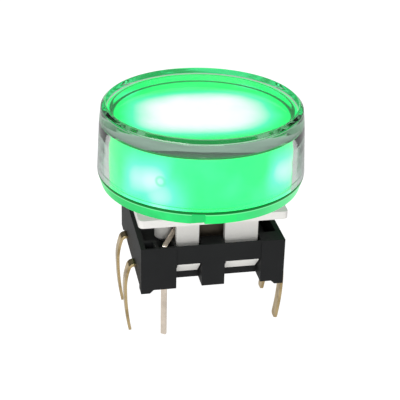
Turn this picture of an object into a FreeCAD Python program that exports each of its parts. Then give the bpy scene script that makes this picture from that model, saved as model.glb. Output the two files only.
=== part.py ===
import FreeCAD, Part
import math
import os
import Sketcher

# Illuminated tactile switch for a printed board, in millimetres.
# Z = 0 is the board's face under the housing's feet, +Z points up through the
# button, and the front of the switch faces -Y. X = Y = 0 is the button's axis.

doc = FreeCAD.newDocument("illuminated_tact_switch")
dim = doc.addObject("Spreadsheet::Sheet", "dim")

sizes = {
    # Housing
    "housing_width": 12.0,
    "housing_depth": 12.4,
    "housing_top": 4.15,
    "side_wall": 0.45,
    "end_wall": 1.55,
    "foot_height": 0.3,
    "foot_width": 0.75,
    "foot_slope": 0.3,
    "foot_length": 1.1,
    "mid_face_recess": 0.1,
    "bridge_thickness": 0.85,
    "bridge_bottom": 2.45,
    "bridge_lip": 0.1,
    "lead_in_drop": 0.55,
    "corner_pocket_width": 0.75,
    "corner_pocket_depth": 0.6,
    "corner_pocket_skin": 0.15,
    "corner_pocket_inset": 0.4,
    # Switch well, stem and cover
    "contact_plane": 1.05,
    "well_wall": 0.2,
    "cover_seat": 2.25,
    "cover_thickness": 0.45,
    "cover_gap": 0.2,
    "cover_leg_gap": 0.1,
    "stake_width": 0.8,
    "stake_head_reach": 0.2,
    "stake_head_height": 0.2,
    "stake_gap": 0.05,
    "stake_inset": 0.65,
    "collar_gap": 0.3,
    "collar_width": 0.6,
    "collar_thickness": 0.4,
    "collar_top_gap": 0.05,
    "stem_nub_diameter": 2.0,
    "stem_radial_gap": 0.1,
    "dome_gap": 0.7,
    "dome_height": 0.55,
    "dome_thickness": 0.1,
    "travel": 0.35,
    # Slider
    "flange_overhang": 0.15,
    "flange_setback": 0.1,
    "flange_bottom": 6.0,
    "flange_thickness": 0.7,
    "flange_corner": 0.4,
    "left_leg_outer": 2.95,
    "left_leg_inner": 1.05,
    "right_leg_inner": 1.1,
    "right_leg_outer": 3.9,
    "leg_thickness": 0.65,
    "leg_gap": 0.05,
    "leg_side_gap": 0.12,
    "hook_gap": 0.05,
    "hook_height": 1.33,
    "hook_land": 0.12,
    "hook_reach": 0.75,
    "hook_toe": 0.2,
    "post_angle": 35,
    "post_diameter": 1.5,
    "post_gap": 0.23,
    "post_edge": 0.3,
    "stop_gap": 0.05,
    "hub_inset": 0.6,
    "hub_height": 0.5,
    "neck_clearance": 0.18,
    "neck_wall": 0.6,
    "shoulder_ledge": 0.6,
    "bead_reach": 0.2,
    "bead_height": 0.45,
    "snap_gap": 0.05,
    "pedestal_margin": 0.7,
    # Button cap
    "cap_diameter": 17.46,
    "cap_gap": 0.5,
    "ring_height": 1.2,
    "ring_taper": 0.35,
    "upstand_wall": 0.7,
    "upstand_height": 0.9,
    "pry_notch_width": 1.05,
    "pry_notch_depth": 0.6,
    "pry_notch_offset": 1.8,
    "diffuser_wall": 0.8,
    "diffuser_top_wall": 0.7,
    "diffuser_rim": 0.35,
    "diffuser_edge": 0.1,
    "tray_depth": 1.77,
    "fit_gap": 0.05,
    "lens_wall": 0.78,
    "lens_gap": 0.1,
    "lens_height": 5.87,
    "lens_top_wall": 1.65,
    "lens_crown_height": 1.55,
    "lens_shoulder_inset": 0.23,
    "lens_top_inset": 0.42,
    "lens_edge": 0.3,
    # LED and its leads
    "led_diameter": 2.6,
    "led_height": 2.3,
    "led_collar_width": 0.4,
    "led_collar_thickness": 0.7,
    "lamp_clearance": 0.3,
    "lead_pitch": 2.54,
    "lead_thickness": 0.28,
    "lead_width": 0.48,
    "lead_gap": 0.07,
    "lead_drop": 0.5,
    "lead_stem_gap": 0.25,
    "lead_bend_height": 3.55,
    "lead_riser_height": 4.55,
    "lead_channel_width": 1.3,
    "lead_channel_skin": 0.25,
    "pin_x": 3.9,
    "pin_inset": 0.35,
    "pin_length": 4.8,
    # Contact strips and terminals
    "terminal_pitch": 5.0,
    "terminal_length": 5.6,
    "terminal_lean": 0.39,
    "terminal_exit_run": 0.11,
    "terminal_bend_radius": 0.45,
    "terminal_swell_radius": 6.0,
    "terminal_swell_drop": 1.8,
    "strip_width": 1.05,
    "strip_thickness": 0.25,
    "tongue_width": 1.4,
    "tongue_reach": 0.9,
    "dimple_diameter": 1.2,
    "dimple_height": 0.08,
    "arm_width": 0.8,
    "arm_inset": 0.1,
    "arm_reach": 1.2,
}
for row, (name, size) in enumerate(sizes.items(), start=1):
    dim.set(f"A{row}", name)
    dim.set(f"B{row}", str(size))
    dim.setAlias(f"B{row}", name)
doc.recompute()


def value_of(formula):
    """The number that a formula of the sheet's sizes gives."""
    return float(dim.evalExpression(formula))


def new_body(label):
    """An empty body whose label names its node."""
    body = doc.addObject("PartDesign::Body", label)
    body.Label = label
    return body


def origin_feature(body, role):
    """One of a body's own origin planes or axes."""
    return next(feature for feature in body.Origin.OriginFeatures if feature.Role == role)


def sketch_on(body, name, role, offset="0"):
    """A sketch on an origin plane, moved along the plane's normal by a formula."""
    sketch = body.newObject("Sketcher::SketchObject", name)
    sketch.AttachmentSupport = [(origin_feature(body, role), "")]
    sketch.MapMode = "FlatFace"
    sketch.setExpression("AttachmentOffset.Base.z", offset)
    return sketch


def hold_point(sketch, geometry, point, x, y):
    """Hold a sketch point at formulas x and y from the sketch's origin."""
    for kind, formula in (("DistanceX", x), ("DistanceY", y)):
        limit = Sketcher.Constraint(kind, -1, 1, geometry, point, value_of(formula))
        index = sketch.addConstraint(limit)
        sketch.setExpression(f"Constraints[{index}]", formula)


def draw_lines(sketch, corners, closed=True):
    """Straight lines through corners that are pairs of formulas."""
    points = [FreeCAD.Vector(value_of(x), value_of(y), 0) for x, y in corners]
    first = sketch.GeometryCount
    count = len(corners) if closed else len(corners) - 1
    for index in range(count):
        start = points[index]
        end = points[(index + 1) % len(points)]
        sketch.addGeometry(Part.LineSegment(start, end), False)
        hold_point(sketch, first + index, 1, *corners[index])
    for index in range(count - 1):
        join = Sketcher.Constraint("Coincident", first + index, 2, first + index + 1, 1)
        sketch.addConstraint(join)
    if closed:
        sketch.addConstraint(Sketcher.Constraint("Coincident", first + count - 1, 2, first, 1))
    else:
        hold_point(sketch, first + count - 1, 2, *corners[-1])
    return first


def draw_box(sketch, left, right, low, high):
    """A rectangle between four formulas."""
    draw_lines(sketch, [(left, low), (right, low), (right, high), (left, high)])


def draw_circle(sketch, x, y, diameter):
    """A circle about a point given by formulas."""
    centre = FreeCAD.Vector(value_of(x), value_of(y), 0)
    circle = Part.Circle(centre, FreeCAD.Vector(0, 0, 1), value_of(diameter) / 2)
    index = sketch.addGeometry(circle, False)
    hold_point(sketch, index, 3, x, y)
    limit = Sketcher.Constraint("Diameter", index, value_of(diameter))
    sketch.setExpression(f"Constraints[{sketch.addConstraint(limit)}]", diameter)


def pad(body, sketch, length, name, back=False):
    """Raise a sketch by a formula along its plane's normal, or against it."""
    feature = body.newObject("PartDesign::Pad", name)
    feature.Profile = sketch
    feature.Reversed = back
    feature.setExpression("Length", length)
    return feature


def pocket(body, sketch, length, name, forward=False):
    """Cut a sketch by a formula against its plane's normal, or along it."""
    feature = body.newObject("PartDesign::Pocket", name)
    feature.Profile = sketch
    feature.Reversed = forward
    feature.setExpression("Length", length)
    return feature


def revolve(body, name, corners):
    """Turn a profile of (radius, height) formulas about the button's axis."""
    sketch = sketch_on(body, f"{name}_profile", "XZ_Plane")
    draw_lines(sketch, corners)
    feature = body.newObject("PartDesign::Revolution", name)
    feature.Profile = sketch
    feature.ReferenceAxis = (sketch, ["V_Axis"])
    feature.Angle = 360
    return feature


def dress_edges(body, base, kind, name, size, chosen):
    """Fillet or chamfer the edges of a feature that a test chooses."""
    doc.recompute()
    edges = [f"Edge{index}" for index, edge in enumerate(base.Shape.Edges, start=1) if chosen(edge)]
    feature = body.newObject(f"PartDesign::{kind}", name)
    feature.Base = (base, edges)
    feature.setExpression("Radius" if kind == "Fillet" else "Size", size)
    return feature


def repeat_opposite(body, name, features):
    """Repeat features half a turn round the button's axis."""
    pattern = body.newObject("PartDesign::PolarPattern", name)
    pattern.Originals = features
    pattern.Axis = (origin_feature(body, "Z_Axis"), [""])
    pattern.Angle = 360
    pattern.Occurrences = 2
    body.Tip = pattern
    return pattern


def is_circle_at(edge, radius, height):
    """Whether an edge is a level circle of this radius at this height."""
    if not isinstance(edge.Curve, Part.Circle):
        return False
    same_size = abs(edge.Curve.Radius - radius) < 1e-6
    return same_size and abs(edge.Curve.Center.z - height) < 1e-6


def is_upright(edge):
    """Whether an edge is a vertical straight line."""
    if not isinstance(edge.Curve, Part.Line):
        return False
    return abs(abs(edge.Curve.Direction.z) - 1) < 1e-6


# Heights, radii and planes that more than one piece uses.
half_width = "(dim.housing_width / 2)"
half_depth = "(dim.housing_depth / 2)"
cavity_x = f"({half_width} - dim.side_wall)"
cavity_y = f"({half_depth} - dim.end_wall)"
mid_face = f"({half_depth} - dim.mid_face_recess)"
slot_front = f"({mid_face} - dim.bridge_thickness)"
leg_front = f"({slot_front} - dim.leg_gap)"
leg_back = f"({leg_front} - dim.leg_thickness)"
slot_back = f"({leg_back} - dim.leg_gap)"
well_radius = f"({slot_back} - dim.well_wall)"
collar_radius = f"({well_radius} - dim.collar_gap)"
stem_radius = f"({collar_radius} - dim.collar_width)"
rim_radius = f"({well_radius} - dim.dome_gap)"
cover_top = "(dim.cover_seat + dim.cover_thickness)"
plate_x = f"({cavity_x} - dim.cover_gap)"
plate_y = f"({leg_back} - dim.cover_leg_gap)"
stake_x = f"({plate_x} - dim.stake_inset)"
stake_y = f"({plate_y} - dim.stake_inset)"
stem_top = "(dim.flange_bottom - dim.hub_height)"
flange_top = "(dim.flange_bottom + dim.flange_thickness)"
cap_bottom = f"({flange_top} + dim.cap_gap)"
seam = f"({cap_bottom} + dim.ring_height)"
cap_radius = "(dim.cap_diameter / 2)"
lens_bore = f"({cap_radius} - dim.lens_wall)"
lens_top = f"({seam} + dim.lens_height)"
ceiling = f"({lens_top} - dim.lens_top_wall)"
diffuser_radius = f"({lens_bore} - dim.lens_gap)"
diffuser_inner = f"({diffuser_radius} - dim.diffuser_wall)"
diffuser_top = f"({ceiling} - dim.fit_gap)"
tray_radius = f"({diffuser_radius} - dim.diffuser_rim)"
tray_floor = f"({diffuser_top} - dim.tray_depth)"
diffuser_roof = f"({tray_floor} - dim.diffuser_top_wall)"
led_seat = f"({diffuser_roof} - dim.lamp_clearance - dim.led_height)"
led_collar_radius = "(dim.led_diameter / 2 + dim.led_collar_width)"
lead_run = f"({led_seat} - dim.lead_drop)"
lead_slot_depth = "(dim.lead_thickness + 2 * dim.lead_gap)"
lead_slot_width = "(dim.lead_width + 2 * dim.lead_gap)"
riser_radius = f"({stem_radius} + dim.lead_stem_gap + dim.lead_thickness / 2)"
riser_outer = f"({riser_radius} + {lead_slot_depth} / 2)"
pin_y = f"({cavity_y} + dim.pin_inset)"
lead_azimuth = f"atan({pin_y} / dim.pin_x)"

# Contact strips: stamped brass, each with two curved terminals.
# The front one carries the centre contact and the rear one the dome's rim.
strip_middle = "(dim.contact_plane - dim.strip_thickness / 2)"
strip_bottom = "(dim.contact_plane - dim.strip_thickness)"
bend_start = f"({half_width} + dim.terminal_exit_run)"
bend_low = f"({strip_middle} - dim.terminal_bend_radius)"
swell_step = "(dim.terminal_swell_radius - dim.terminal_bend_radius)"
swell_x = f"({bend_start} - sqrt({swell_step} ^ 2 - dim.terminal_swell_drop ^ 2))"
swell_low = f"({bend_low} - dim.terminal_swell_drop)"
widest = f"({swell_x} + dim.terminal_swell_radius)"
tip_x = f"({widest} - dim.terminal_lean)"
quarter_turn = math.pi / 2


def draw_arc(sketch, x, y, radius, start, end):
    """An arc about a point, between two angles in radians."""
    circle = Part.Circle(FreeCAD.Vector(x, y, 0), FreeCAD.Vector(0, 0, 1), radius)
    return sketch.addGeometry(Part.ArcOfCircle(circle, start, end), False)


def draw_terminal_path(sketch):
    """Level run, tight bend, wider swell, then a long bow inward to the tip."""
    draw_lines(sketch, [("0", strip_middle), (bend_start, strip_middle)], closed=False)
    turned = math.asin(value_of(f"dim.terminal_swell_drop / {swell_step}"))
    bend_radius = value_of("dim.terminal_bend_radius")
    bend = draw_arc(sketch, value_of(bend_start), value_of(bend_low), bend_radius, turned, quarter_turn)
    swell_radius = value_of("dim.terminal_swell_radius")
    swell = draw_arc(sketch, value_of(swell_x), value_of(swell_low), swell_radius, 0, turned)
    inward = value_of("dim.terminal_lean")
    drop = value_of(f"{swell_low} + dim.terminal_length")
    bow_radius = (inward**2 + drop**2) / (2 * inward)
    bow_turn = math.asin(drop / bow_radius)
    bow_x = value_of(widest) - bow_radius
    bow = draw_arc(sketch, bow_x, value_of(swell_low), bow_radius, -bow_turn, 0)
    sketch.addConstraint(Sketcher.Constraint("Coincident", bend, 2, 0, 2))
    hold_point(sketch, bend, 3, bend_start, bend_low)
    sketch.addConstraint(Sketcher.Constraint("Tangent", bend, 1, swell, 2))
    hold_point(sketch, swell, 3, swell_x, swell_low)
    sketch.addConstraint(Sketcher.Constraint("Horizontal", swell, 3, swell, 1))
    sketch.addConstraint(Sketcher.Constraint("Coincident", bow, 2, swell, 1))
    sketch.addConstraint(Sketcher.Constraint("Horizontal", bow, 3, swell, 1))
    hold_point(sketch, bow, 1, tip_x, "-dim.terminal_length")


def make_strip(label, side):
    """One strip with a terminal at each end; side is - at the front."""
    body = new_body(label)
    row = f"({side}dim.terminal_pitch / 2)"
    path = sketch_on(body, f"{label}_path", "XZ_Plane", f"-{row}")
    draw_terminal_path(path)
    section = sketch_on(body, f"{label}_section", "YZ_Plane")
    low_y = f"{row} - dim.strip_width / 2"
    high_y = f"{row} + dim.strip_width / 2"
    draw_box(section, low_y, high_y, strip_bottom, "dim.contact_plane")
    doc.recompute()
    half = body.newObject("PartDesign::AdditivePipe", f"{label}_half")
    half.Profile = section
    half.Spine = (path, [f"Edge{index}" for index in range(1, path.GeometryCount + 1)])
    mirror = body.newObject("PartDesign::Mirrored", f"{label}_other_half")
    mirror.Originals = [half]
    mirror.MirrorPlane = (origin_feature(body, "YZ_Plane"), [""])
    body.Tip = mirror
    return body, row


contact_strip_front, front_row = make_strip("contact_strip_front", "-")
tongue = sketch_on(contact_strip_front, "tongue_outline", "XY_Plane", strip_bottom)
draw_box(tongue, "-dim.tongue_width / 2", "dim.tongue_width / 2", front_row, "dim.tongue_reach")
pad(contact_strip_front, tongue, "dim.strip_thickness", "tongue")
dimple = sketch_on(contact_strip_front, "dimple_outline", "XY_Plane", "dim.contact_plane")
draw_circle(dimple, "0", "0", "dim.dimple_diameter")
pad(contact_strip_front, dimple, "dim.dimple_height", "dimple")

contact_strip_rear, rear_row = make_strip("contact_strip_rear", "")
arms = sketch_on(contact_strip_rear, "arms_outline", "XY_Plane", strip_bottom)
arm_outer = f"({rim_radius} - dim.arm_inset)"
arm_inner = f"({arm_outer} - dim.arm_width)"
draw_box(arms, arm_inner, arm_outer, "-dim.arm_reach", rear_row)
draw_box(arms, f"-{arm_outer}", f"-{arm_inner}", "-dim.arm_reach", rear_row)
pad(contact_strip_rear, arms, "dim.strip_thickness", "arms")


def draw_stake(sketch, x, y, reach):
    """A square of the stakes' width, wider by a formula on every side."""
    half = f"(dim.stake_width / 2 + {reach})"
    draw_box(sketch, f"{x} - {half}", f"{x} + {half}", f"{y} - {half}", f"{y} + {half}")


# Housing: black moulded box on four corner feet, moulded round the strips.
# Its front and rear walls have slots for the slider's legs and their hooks,
# and four square stakes on its floor hold the inner cover.
moulding = new_body("housing_moulding")
walls = sketch_on(moulding, "walls_outline", "XY_Plane", "dim.foot_height")
draw_box(walls, f"-{half_width}", half_width, f"-{half_depth}", half_depth)
pad(moulding, walls, "dim.housing_top - dim.foot_height", "walls")

cavity = sketch_on(moulding, "cavity_outline", "XY_Plane", "dim.housing_top")
draw_box(cavity, f"-{cavity_x}", cavity_x, f"-{cavity_y}", cavity_y)
pocket(moulding, cavity, "dim.housing_top - dim.cover_seat", "cavity")

well = sketch_on(moulding, "well_outline", "XY_Plane", "dim.cover_seat")
draw_circle(well, "0", "0", f"2 * {well_radius}")
pocket(moulding, well, "dim.cover_seat - dim.contact_plane", "well")

feet = sketch_on(moulding, "feet_outline", "XZ_Plane", half_depth)
foot_inner = f"({half_width} - dim.foot_width)"
foot_root = f"({foot_inner} - dim.foot_slope)"
for sign in ("-", ""):
    draw_lines(
        feet,
        [
            (f"{sign}{half_width}", "0"),
            (f"{sign}{foot_inner}", "0"),
            (f"{sign}{foot_root}", "dim.foot_height"),
            (f"{sign}{half_width}", "dim.foot_height"),
        ],
    )
feet_pad = pad(moulding, feet, "dim.foot_length", "feet", back=True)

left_slot_low = "(-dim.left_leg_outer - dim.leg_side_gap)"
left_slot_high = "(-dim.left_leg_inner + dim.leg_side_gap)"
right_slot_low = "(dim.right_leg_inner - dim.leg_side_gap)"
right_slot_high = "(dim.right_leg_outer + dim.leg_side_gap)"
face = sketch_on(moulding, "mid_face_outline", "XY_Plane", "dim.housing_top")
draw_box(face, left_slot_low, right_slot_high, f"-{half_depth}", f"-{mid_face}")
wall_features = [feet_pad, pocket(moulding, face, "dim.housing_top - dim.foot_height", "mid_face")]

for side, low, high in (
    ("left", left_slot_low, left_slot_high),
    ("right", right_slot_low, right_slot_high),
):
    slot = sketch_on(moulding, f"{side}_slot_profile", "YZ_Plane", low)
    draw_lines(
        slot,
        [
            (f"-{mid_face}", "dim.foot_height"),
            (f"-{mid_face}", "dim.bridge_bottom"),
            (f"-{slot_front}", "dim.bridge_bottom"),
            (f"-{slot_front}", "dim.housing_top - dim.lead_in_drop"),
            (f"-{mid_face} + dim.bridge_lip", "dim.housing_top"),
            (f"-{slot_back}", "dim.housing_top"),
            (f"-{slot_back}", "dim.foot_height"),
        ],
    )
    wall_features.append(pocket(moulding, slot, f"{high} - {low}", f"{side}_slot", forward=True))

lead_hole = sketch_on(moulding, "lead_hole_outline", "XY_Plane", "dim.housing_top")
lead_hole_diameter = "(sqrt(dim.lead_thickness ^ 2 + dim.lead_width ^ 2) + 2 * dim.lead_gap)"
draw_circle(lead_hole, "-dim.pin_x", f"-{pin_y}", lead_hole_diameter)
wall_features.append(pocket(moulding, lead_hole, "dim.housing_top - dim.foot_height", "lead_hole"))

channel = sketch_on(moulding, "lead_channel_outline", "XY_Plane", "dim.housing_top")
channel_left = "(-dim.pin_x - dim.lead_channel_width / 2)"
channel_right = "(-dim.pin_x + dim.lead_channel_width / 2)"
channel_front = f"(-{half_depth} + dim.lead_channel_skin)"
draw_box(channel, channel_left, channel_right, channel_front, f"-{cavity_y}")
channel_floor = "(dim.lead_bend_height - dim.lead_thickness / 2 - dim.travel - dim.stop_gap)"
channel_depth = f"dim.housing_top - {channel_floor}"
wall_features.append(pocket(moulding, channel, channel_depth, "lead_channel"))

corner = sketch_on(moulding, "corner_pocket_outline", "XY_Plane", "dim.housing_top")
corner_left = f"(-{half_width} + dim.corner_pocket_inset)"
draw_box(
    corner,
    corner_left,
    f"{corner_left} + dim.corner_pocket_width",
    f"-{half_depth} + dim.corner_pocket_skin",
    f"-{cavity_y} - dim.corner_pocket_inset",
)
wall_features.append(pocket(moulding, corner, "dim.corner_pocket_depth", "corner_pocket"))

for name, height, thickness, reach in (
    ("stakes", "dim.cover_seat", "dim.cover_thickness", "0"),
    ("stake_heads", cover_top, "dim.stake_head_height", "dim.stake_head_reach"),
):
    stakes = sketch_on(moulding, f"{name}_outline", "XY_Plane", height)
    for x in (f"-{stake_x}", stake_x):
        draw_stake(stakes, x, f"-{stake_y}", reach)
    wall_features.append(pad(moulding, stakes, thickness, name))
repeat_opposite(moulding, "rear_wall", wall_features)

around_front = doc.addObject("Part::Cut", "housing_round_front_strip")
around_front.Base = moulding
around_front.Tool = contact_strip_front
housing = doc.addObject("Part::Cut", "housing")
housing.Base = around_front
housing.Tool = contact_strip_rear
housing.Label = "housing"

# Snap dome: thin sprung steel disc, a shallow spherical cap in the well.
dome_radius = f"(({rim_radius} ^ 2 + dim.dome_height ^ 2) / (2 * dim.dome_height))"
dome_centre = f"(dim.contact_plane + dim.dome_height - {dome_radius})"
dome_outside = doc.addObject("Part::Sphere", "dome_outside")
dome_outside.setExpression("Radius", dome_radius)
dome_outside.setExpression("Placement.Base.z", dome_centre)
dome_inside = doc.addObject("Part::Sphere", "dome_inside")
dome_inside.setExpression("Radius", f"{dome_radius} - dim.dome_thickness")
dome_inside.setExpression("Placement.Base.z", dome_centre)
dome_shell = doc.addObject("Part::Cut", "dome_shell")
dome_shell.Base = dome_outside
dome_shell.Tool = dome_inside
dome_blank = doc.addObject("Part::Cylinder", "dome_blank")
dome_blank.setExpression("Radius", rim_radius)
dome_blank.setExpression("Height", "dim.dome_height * 2")
dome_blank.setExpression("Placement.Base.z", "dim.contact_plane")
snap_dome = doc.addObject("Part::Common", "snap_dome")
snap_dome.Base = dome_shell
snap_dome.Tool = dome_blank
snap_dome.Label = "snap_dome"

# Stem: brown plunger with a collar under the cover and a nub on the dome.
tact_stem = new_body("tact_stem")
collar_top = "(dim.cover_seat - dim.collar_top_gap)"
collar_bottom = f"({collar_top} - dim.collar_thickness)"
nub_bottom = "(dim.contact_plane + dim.dome_height)"
revolve(
    tact_stem,
    "stem",
    [
        ("0", nub_bottom),
        ("dim.stem_nub_diameter / 2", nub_bottom),
        ("dim.stem_nub_diameter / 2", collar_bottom),
        (collar_radius, collar_bottom),
        (collar_radius, collar_top),
        (stem_radius, collar_top),
        (stem_radius, stem_top),
        ("0", stem_top),
    ],
)

# Inner cover: black plate on the cavity's floor that guides the stem.
inner_cover = new_body("inner_cover")
plate = sketch_on(inner_cover, "plate_outline", "XY_Plane", "dim.cover_seat")
draw_box(plate, f"-{plate_x}", plate_x, f"-{plate_y}", plate_y)
draw_circle(plate, "0", "0", f"2 * ({stem_radius} + dim.stem_radial_gap)")
for x in (f"-{stake_x}", stake_x):
    for y in (f"-{stake_y}", stake_y):
        draw_stake(plate, x, y, "dim.stake_gap")
pad(inner_cover, plate, "dim.cover_thickness", "plate")

# Slider: white moulding that carries the lamp and the cap.
# Its legs pass down the housing's slots and hook under the bridges, and its
# posts stop the stroke on the inner cover before the dome is crushed.
slider = new_body("slider")
flange = sketch_on(slider, "flange_outline", "XY_Plane", "dim.flange_bottom")
flange_x = f"({half_width} + dim.flange_overhang)"
flange_y = f"({half_depth} - dim.flange_setback)"
draw_box(flange, f"-{flange_x}", flange_x, f"-{flange_y}", flange_y)
flange_pad = pad(slider, flange, "dim.flange_thickness", "flange")
dress_edges(slider, flange_pad, "Fillet", "flange_corners", "dim.flange_corner", is_upright)

hub = sketch_on(slider, "hub_outline", "XY_Plane", stem_top)
draw_circle(hub, "0", "0", f"2 * ({stem_radius} - dim.hub_inset)")
pad(slider, hub, "dim.hub_height", "hub")

neck_inner = f"({riser_outer} + dim.neck_clearance)"
neck_outer = f"({neck_inner} + dim.neck_wall)"
shoulder = f"({neck_outer} + dim.shoulder_ledge)"
bead_bottom = f"({seam} + dim.snap_gap)"
neck_top = f"({bead_bottom} + dim.bead_height)"
revolve(
    slider,
    "neck",
    [
        (neck_inner, flange_top),
        (shoulder, flange_top),
        (shoulder, cap_bottom),
        (neck_outer, cap_bottom),
        (neck_outer, bead_bottom),
        (f"{neck_outer} + dim.bead_reach", bead_bottom),
        (f"{neck_outer} - dim.bead_reach", neck_top),
        (neck_inner, neck_top),
    ],
)
pedestal = sketch_on(slider, "pedestal_outline", "XY_Plane", flange_top)
draw_circle(pedestal, "0", "0", f"2 * ({led_collar_radius} + dim.pedestal_margin)")
pad(slider, pedestal, f"{led_seat} - {flange_top}", "pedestal")

hook_top = "(dim.bridge_bottom - dim.hook_gap)"
hook_bottom = f"({hook_top} - dim.hook_height)"
hook_front = f"({leg_front} + dim.hook_reach)"
slider_features = []
for side, low, width in (
    ("left", "-dim.left_leg_outer", "dim.left_leg_outer - dim.left_leg_inner"),
    ("right", "dim.right_leg_inner", "dim.right_leg_outer - dim.right_leg_inner"),
):
    leg = sketch_on(slider, f"{side}_leg_profile", "YZ_Plane", low)
    draw_lines(
        leg,
        [
            (f"-{leg_front}", "dim.flange_bottom"),
            (f"-{leg_front}", hook_top),
            (f"-{hook_front}", hook_top),
            (f"-{hook_front}", f"{hook_top} - dim.hook_land"),
            (f"-{leg_back} - dim.hook_toe", hook_bottom),
            (f"-{leg_back}", hook_bottom),
            (f"-{leg_back}", "dim.flange_bottom"),
        ],
    )
    slider_features.append(pad(slider, leg, width, f"{side}_leg"))

post_bottom = f"({cover_top} + dim.travel + dim.stop_gap)"
posts = sketch_on(slider, "posts_outline", "XY_Plane", post_bottom)
post_ring = f"({stem_radius} + dim.post_gap + dim.post_diameter / 2)"
post_x = f"({post_ring} * cos(dim.post_angle * 1 deg))"
post_y = f"({post_ring} * sin(dim.post_angle * 1 deg))"
draw_circle(posts, f"-{post_x}", f"-{post_y}", "dim.post_diameter")
draw_circle(posts, post_x, f"-{post_y}", "dim.post_diameter")
slider_features.append(pad(slider, posts, f"dim.flange_bottom - {post_bottom}", "posts"))

lead_inner = f"(dim.lead_pitch / 2 - {lead_slot_depth} / 2)"
riser_inner = f"({riser_radius} - {lead_slot_depth} / 2)"
groove_depth = "dim.lead_drop + dim.lead_thickness / 2 + dim.lead_gap"
for name, inner, top, depth in (
    ("lead_groove", lead_inner, led_seat, groove_depth),
    ("lead_riser_hole", riser_inner, flange_top, "dim.flange_thickness"),
):
    cut = sketch_on(slider, f"{name}_outline", "XY_Plane", top)
    cut.AttachmentOffset.Rotation = FreeCAD.Rotation(FreeCAD.Vector(0, 0, 1), 0)
    cut.setExpression("AttachmentOffset.Rotation.Angle", lead_azimuth)
    draw_box(cut, f"-{riser_outer}", f"-{inner}", f"-{lead_slot_width} / 2", f"{lead_slot_width} / 2")
    slider_features.append(pocket(slider, cut, depth, name))
both_sides = repeat_opposite(slider, "opposite_side", slider_features)
dress_edges(
    slider,
    both_sides,
    "Chamfer",
    "post_ends",
    "dim.post_edge",
    lambda edge: is_circle_at(edge, value_of("dim.post_diameter / 2"), value_of(post_bottom)),
)

# LED lamp: sealed epoxy lamp that stands on the slider's pedestal.
led_lamp = new_body("led_lamp")
lamp_radius = "(dim.led_diameter / 2)"
lamp_collar_top = f"({led_seat} + dim.led_collar_thickness)"
lamp_dome = f"({led_seat} + dim.led_height - {lamp_radius})"
lamp = sketch_on(led_lamp, "lamp_profile", "XZ_Plane")
draw_lines(
    lamp,
    [
        ("0", f"{led_seat} + dim.led_height"),
        ("0", led_seat),
        (led_collar_radius, led_seat),
        (led_collar_radius, lamp_collar_top),
        (lamp_radius, lamp_collar_top),
        (lamp_radius, lamp_dome),
    ],
    closed=False,
)
last_line = lamp.GeometryCount - 1
dome_circle = Part.Circle(
    FreeCAD.Vector(0, value_of(lamp_dome), 0), FreeCAD.Vector(0, 0, 1), value_of(lamp_radius)
)
lamp_arc = lamp.addGeometry(Part.ArcOfCircle(dome_circle, 0, quarter_turn), False)
lamp.addConstraint(Sketcher.Constraint("Coincident", lamp_arc, 1, last_line, 2))
lamp.addConstraint(Sketcher.Constraint("Coincident", lamp_arc, 2, 0, 1))
lamp.addConstraint(Sketcher.Constraint("Horizontal", lamp_arc, 3, lamp_arc, 1))
lamp_turn = led_lamp.newObject("PartDesign::Revolution", "lamp")
lamp_turn.Profile = lamp
lamp_turn.ReferenceAxis = (lamp, ["V_Axis"])
lamp_turn.Angle = 360

# LED leads: flat wire from the lamp, over the slider's flange and down
# through the riser hole, then slantwise to the corner and down as a pin.
pin_radius = f"sqrt(dim.pin_x ^ 2 + {pin_y} ^ 2)"


def make_lead(label, turn):
    """One bent lead in a vertical plane through the button's axis."""
    body = new_body(label)
    path = sketch_on(body, f"{label}_path", "XZ_Plane")
    draw_lines(
        path,
        [
            (f"-{pin_radius}", "-dim.pin_length"),
            (f"-{pin_radius}", "dim.lead_bend_height"),
            (f"-{riser_radius}", "dim.lead_riser_height"),
            (f"-{riser_radius}", lead_run),
            ("-dim.lead_pitch / 2", lead_run),
            ("-dim.lead_pitch / 2", led_seat),
        ],
        closed=False,
    )
    section = sketch_on(body, f"{label}_section", "XY_Plane", "-dim.pin_length")
    half = "dim.lead_thickness / 2"
    side = "dim.lead_width / 2"
    draw_box(section, f"-{pin_radius} - {half}", f"-{pin_radius} + {half}", f"-{side}", side)
    doc.recompute()
    wire = body.newObject("PartDesign::AdditivePipe", f"{label}_wire")
    wire.Profile = section
    wire.Spine = (path, [f"Edge{index}" for index in range(1, path.GeometryCount + 1)])
    wire.Transition = "Round corner"
    body.Placement.Rotation = FreeCAD.Rotation(FreeCAD.Vector(0, 0, 1), 0)
    body.setExpression("Placement.Rotation.Angle", f"{lead_azimuth} + {turn}")
    return body


led_lead_front = make_lead("led_lead_front", "0 deg")
led_lead_rear = make_lead("led_lead_rear", "180 deg")

# Cap base ring: translucent ring that snaps over the slider's neck.
cap_base_ring = new_body("cap_base_ring")
ring_bore = f"({neck_outer} + dim.fit_gap)"
upstand_outer = f"({diffuser_inner} - dim.fit_gap)"
upstand_inner = f"({upstand_outer} - dim.upstand_wall)"
revolve(
    cap_base_ring,
    "base_ring",
    [
        (ring_bore, cap_bottom),
        (f"{cap_radius} - dim.ring_taper", cap_bottom),
        (cap_radius, seam),
        (upstand_outer, seam),
        (upstand_outer, f"{seam} + dim.upstand_height"),
        (upstand_inner, f"{seam} + dim.upstand_height"),
        (upstand_inner, seam),
        (ring_bore, seam),
    ],
)
notch = sketch_on(cap_base_ring, "pry_notch_outline", "XY_Plane", seam)
notch_left = "(-dim.pry_notch_offset - dim.pry_notch_width / 2)"
notch_right = "(-dim.pry_notch_offset + dim.pry_notch_width / 2)"
notch_back = f"(-sqrt({cap_radius} ^ 2 - dim.pry_notch_offset ^ 2) + dim.pry_notch_depth)"
draw_box(notch, notch_left, notch_right, f"-{cap_radius}", notch_back)
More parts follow.
